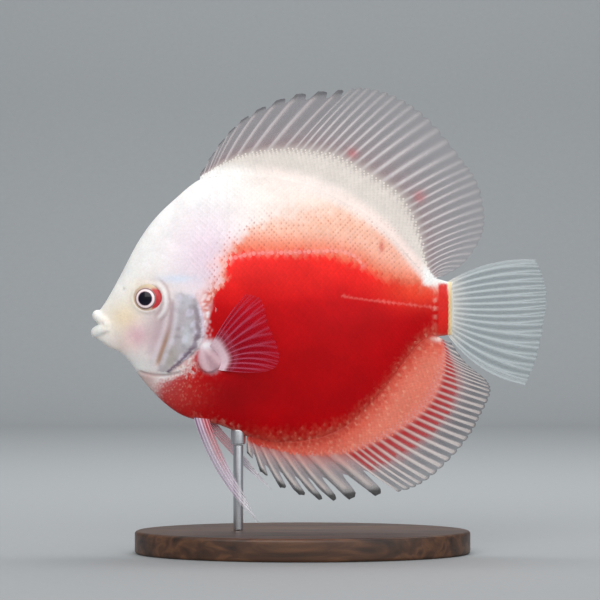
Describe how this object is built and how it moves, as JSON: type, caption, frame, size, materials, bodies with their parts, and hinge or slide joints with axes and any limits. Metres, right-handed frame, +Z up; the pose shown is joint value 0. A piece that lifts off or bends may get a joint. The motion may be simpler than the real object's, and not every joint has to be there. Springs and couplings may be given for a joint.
{
  "type": "discus fish model",
  "caption": "Life-size still model of a discus fish with spread fins, held by one thin rod on a flat oval base.",
  "frame": {"origin": "on the table under the middle of the whole model: middle of its length and breadth, underside of the base", "axes": "+X towards the tail, the fish faces -X; +Y towards its right flank; +Z up"},
  "size_m": [0.1608, 0.074, 0.1637],
  "materials": {
    "head_skin": "smooth moist skin, white on the forehead and nape, lilac pink on the cheek",
    "body_skin": "fine-scaled moist skin, bright red flank, white to orange towards the back",
    "gill_cover": "smooth moist skin over bone, pink with pale streaks",
    "eye": "glossy eye with a white ring round a dark pupil",
    "dorsal_fin": "scaled cream sheath, thin ribbed grey-pink membrane beyond",
    "anal_fin": "scaled orange-pink sheath, thin ribbed red and grey membrane beyond",
    "tail_fin": "thin ribbed blue-grey membrane, see-through",
    "pectoral_fin": "thin ribbed magenta membrane on a pale fleshy lobe",
    "pelvic_fin": "ribbed lilac-white blade with pink rear rays",
    "stand_wood": "dark stained wood, satin lacquer",
    "stand_steel": "brushed stainless steel"
  },
  "bodies": {
    "root": {"head": "head_skin", "trunk": "body_skin", "tail_stalk": "body_skin", "gill_cover_left": "gill_cover", "gill_cover_right": "gill_cover", "eye_left": "eye", "eye_right": "eye", "dorsal_fin": "dorsal_fin", "anal_fin": "anal_fin", "tail_fin": "tail_fin", "pectoral_fin_left": "pectoral_fin", "pectoral_fin_right": "pectoral_fin", "pelvic_fin_left": "pelvic_fin", "pelvic_fin_right": "pelvic_fin", "stand_base": "stand_wood", "stand_rod": "stand_steel", "stand_collar": "stand_steel"}
  },
  "joints": []
}
